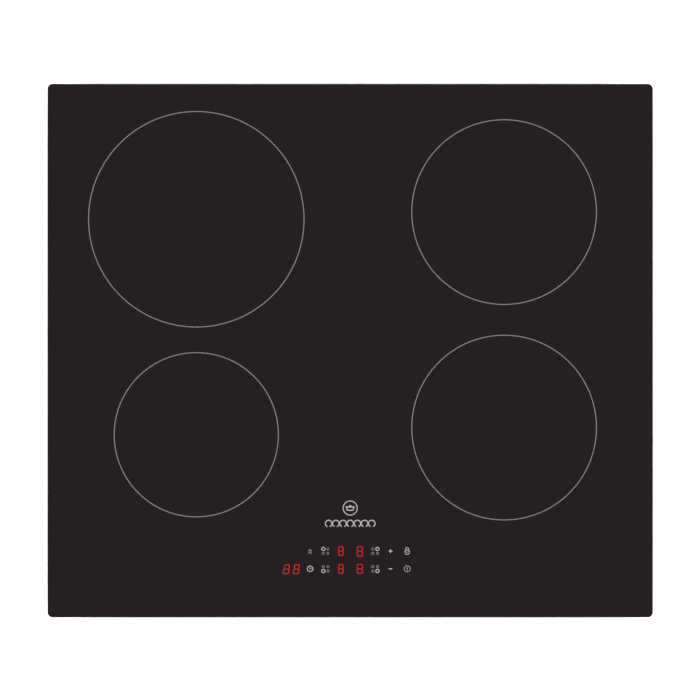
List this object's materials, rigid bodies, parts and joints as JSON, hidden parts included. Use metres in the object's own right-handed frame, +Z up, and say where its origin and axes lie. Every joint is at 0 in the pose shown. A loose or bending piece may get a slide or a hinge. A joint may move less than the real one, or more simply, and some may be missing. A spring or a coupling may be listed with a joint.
{
  "type": "electric induction cooktop",
  "caption": "Built-in induction hob: black glass plate with printed cooking zones and touch controls over a vented steel tray that drops into a worktop cut-out.",
  "frame": {"origin": "centre of the footprint, at the level of the pressed feet under the tray", "axes": "+X to the right of a cook facing the controls, +Y to the rear of the worktop, +Z up out of the glass"},
  "size_m": [0.59, 0.52, 0.058],
  "materials": {
    "glass_ceramic": "polished black glass-ceramic",
    "printed_enamel": "fired grey enamel print",
    "seal_foam": "closed-cell foam",
    "silicone": "cured silicone",
    "frame_steel": "black powder coat",
    "tray_steel": "galvanised sheet",
    "screw_steel": "zinc plated",
    "spring_steel": "spring steel strip",
    "black_plastic": "moulded, fine texture",
    "white_plastic": "moulded",
    "brass_terminal": "turned",
    "aluminium_sheet": "mill finish",
    "heatsink_aluminium": "extruded",
    "circuit_board": "solder-masked laminate",
    "transistor_case": "moulded epoxy",
    "film_capacitor": "moulded case",
    "filter_capacitor": "moulded case",
    "copper_winding": "lacquered copper",
    "steel_shaft": "ground",
    "ferrite": "sintered",
    "mica_sheet": "pressed sheet",
    "sensor_body": "moulded",
    "display_plastic": "cast lens",
    "wire_insulation": "extruded insulation",
    "mains_insulation": "extruded insulation",
    "signal_insulation": "extruded insulation"
  },
  "bodies": {
    "housing": {"glass_plate": "glass_ceramic", "zone_rings": "printed_enamel", "control_print": "printed_enamel", "worktop_seal": "seal_foam", "silicone_bead": "silicone", "glass_frame": "frame_steel", "base_tray": "tray_steel", "side_screws": "screw_steel", "clip_tabs": "spring_steel", "terminal_box": "black_plastic", "terminal_block": "white_plastic", "terminal_screws": "brass_terminal", "cable_gland": "black_plastic", "coil_plate_left": "aluminium_sheet", "coil_plate_right": "aluminium_sheet", "plate_pillars": "white_plastic", "plate_screws": "screw_steel", "power_board_left": "circuit_board", "power_board_right": "circuit_board", "heatsink_left": "heatsink_aluminium", "heatsink_right": "heatsink_aluminium", "power_transistors": "transistor_case", "resonance_capacitors": "film_capacitor", "line_chokes": "copper_winding", "filter_board": "circuit_board", "filter_choke": "copper_winding", "filter_capacitors": "filter_capacitor", "board_standoffs": "white_plastic", "blower_housing_left": "black_plastic", "blower_housing_right": "black_plastic", "fan_motor_left": "copper_winding", "fan_motor_right": "copper_winding", "coil_carrier_rear_left": "white_plastic", "coil_carrier_rear_right": "white_plastic", "coil_carrier_front_left": "white_plastic", "coil_carrier_front_right": "white_plastic", "coil_winding_rear_left": "copper_winding", "coil_winding_rear_right": "copper_winding", "coil_winding_front_left": "copper_winding", "coil_winding_front_right": "copper_winding", "ferrite_bars": "ferrite", "insulation_discs": "mica_sheet", "temperature_sensors": "sensor_body", "coil_springs": "spring_steel", "touch_board": "circuit_board", "touch_pads": "silicone", "digit_displays": "display_plastic", "control_bracket": "black_plastic", "coil_leads": "wire_insulation", "mains_wires": "mains_insulation", "control_cables": "signal_insulation"},
    "fan_left": {"fan_wheel_left": "black_plastic", "fan_shaft_left": "steel_shaft"},
    "fan_right": {"fan_wheel_right": "black_plastic", "fan_shaft_right": "steel_shaft"},
    "terminal_flap": {"terminal_flap": "black_plastic"},
    "clip_left_front": {"clip_left_front": "spring_steel"},
    "clip_left_rear": {"clip_left_rear": "spring_steel"},
    "clip_right_front": {"clip_right_front": "spring_steel"},
    "clip_right_rear": {"clip_right_rear": "spring_steel"}
  },
  "joints": [
    {"name": "fan_left_spin", "type": "hinge", "parent": "housing", "child": "fan_left", "pos_m": [-0.15, 0.17715, 0.02], "axis": [0, 0, 1], "continuous": true},
    {"name": "fan_right_spin", "type": "hinge", "parent": "housing", "child": "fan_right", "pos_m": [0.15, 0.17715, 0.02], "axis": [0, 0, 1], "continuous": true},
    {"name": "terminal_flap_hinge", "type": "hinge", "parent": "housing", "child": "terminal_flap", "pos_m": [-0.015, 0.24195, 0.0274], "axis": [1, 0, 0], "range_deg": [0, 105]},
    {"name": "clip_left_front_flex", "type": "hinge", "parent": "housing", "child": "clip_left_front", "pos_m": [-0.27845, -0.13, 0.0143], "axis": [0, 1, 0], "range_deg": [0, 12], "stiffness_Nm_per_rad": 1.2},
    {"name": "clip_left_rear_flex", "type": "hinge", "parent": "housing", "child": "clip_left_rear", "pos_m": [-0.27845, 0.13, 0.0143], "axis": [0, 1, 0], "range_deg": [0, 12], "stiffness_Nm_per_rad": 1.2},
    {"name": "clip_right_front_flex", "type": "hinge", "parent": "housing", "child": "clip_right_front", "pos_m": [0.27845, -0.13, 0.0143], "axis": [0, -1, 0], "range_deg": [0, 12], "stiffness_Nm_per_rad": 1.2},
    {"name": "clip_right_rear_flex", "type": "hinge", "parent": "housing", "child": "clip_right_rear", "pos_m": [0.27845, 0.13, 0.0143], "axis": [0, -1, 0], "range_deg": [0, 12], "stiffness_Nm_per_rad": 1.2}
  ]
}
